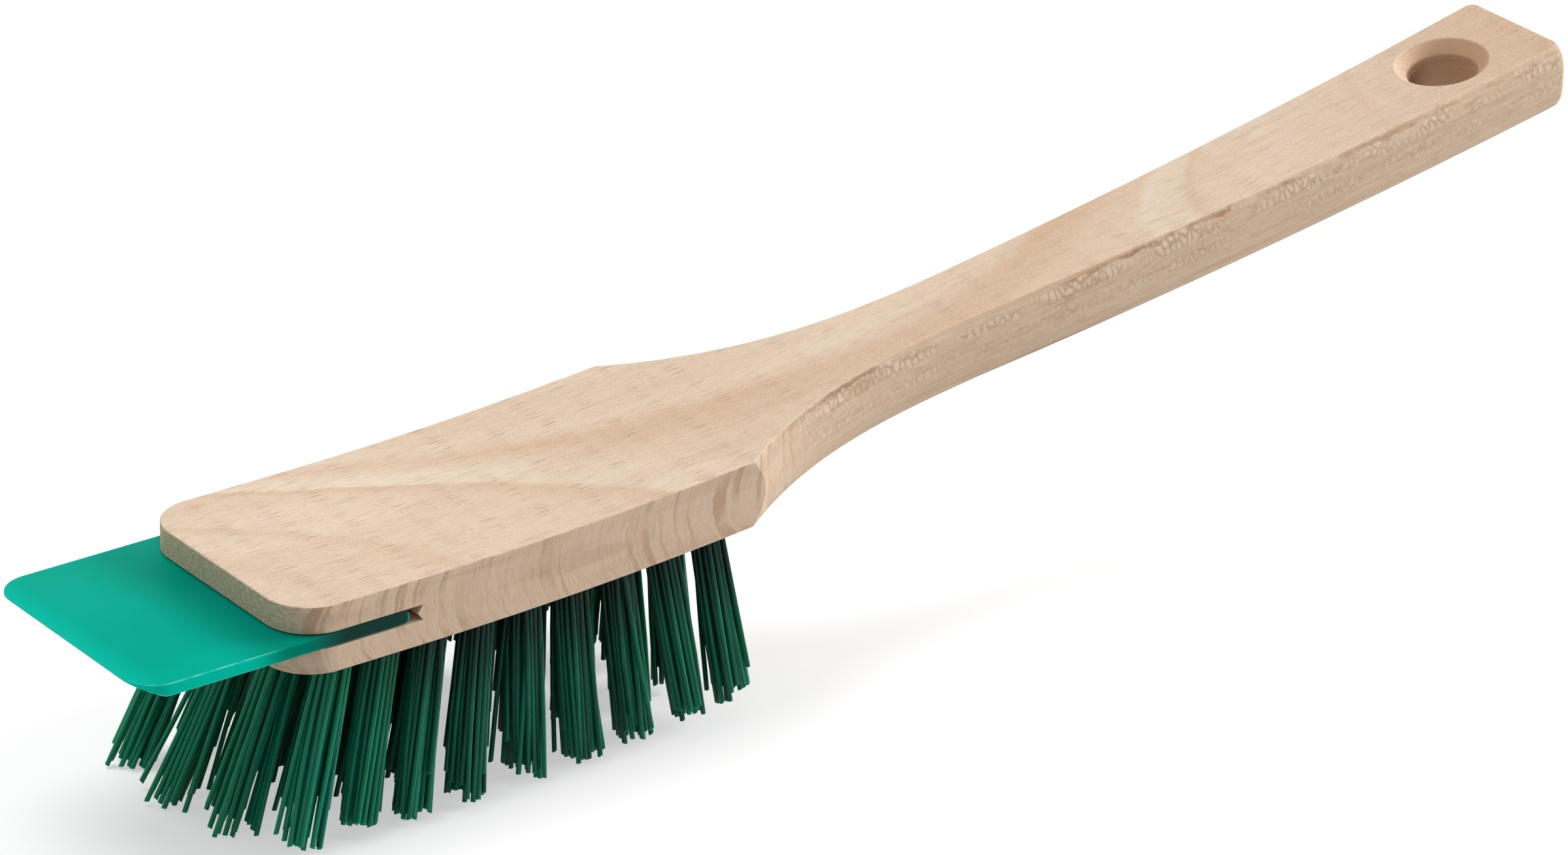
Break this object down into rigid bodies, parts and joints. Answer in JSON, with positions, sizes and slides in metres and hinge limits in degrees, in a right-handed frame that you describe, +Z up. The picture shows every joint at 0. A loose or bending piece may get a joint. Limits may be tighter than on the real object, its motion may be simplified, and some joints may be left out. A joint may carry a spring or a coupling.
{
  "type": "lawn mower cleaning brush",
  "caption": "Wooden hand brush for cleaning under a lawn mower deck: stiff straight bristles in rows, a plastic scraper plate at the front and a long swept handle with a hanging hole.",
  "frame": {"origin": "middle of the bounding box's base: the plane of the lowest bristle tips, on the brush's long middle line", "axes": "+X from the scraper to the end of the handle, +Y across the head, +Z up with the bristles pointing down"},
  "size_m": [0.4002, 0.0666, 0.0987],
  "materials": {
    "beech": "fine-sanded bare beech",
    "scraper_plastic": "smooth translucent polypropylene",
    "bristle": "drawn translucent filament"
  },
  "bodies": {
    "root": {"beech_body": "beech", "scraper_blade": "scraper_plastic", "tuft_row1_01": "bristle", "tuft_row1_02": "bristle", "tuft_row1_03": "bristle", "tuft_row1_04": "bristle", "tuft_row1_05": "bristle", "tuft_row1_06": "bristle", "tuft_row1_07": "bristle", "tuft_row1_08": "bristle", "tuft_row1_09": "bristle", "tuft_row2_01": "bristle", "tuft_row2_02": "bristle", "tuft_row2_03": "bristle", "tuft_row2_04": "bristle", "tuft_row2_05": "bristle", "tuft_row2_06": "bristle", "tuft_row2_07": "bristle", "tuft_row2_08": "bristle", "tuft_row2_09": "bristle", "tuft_row3_01": "bristle", "tuft_row3_02": "bristle", "tuft_row3_03": "bristle", "tuft_row3_04": "bristle", "tuft_row3_05": "bristle", "tuft_row3_06": "bristle", "tuft_row3_07": "bristle", "tuft_row3_08": "bristle", "tuft_row3_09": "bristle", "tuft_row4_01": "bristle", "tuft_row4_02": "bristle", "tuft_row4_03": "bristle", "tuft_row4_04": "bristle", "tuft_row4_05": "bristle", "tuft_row4_06": "bristle", "tuft_row4_07": "bristle", "tuft_row4_08": "bristle", "tuft_row4_09": "bristle"}
  },
  "joints": []
}
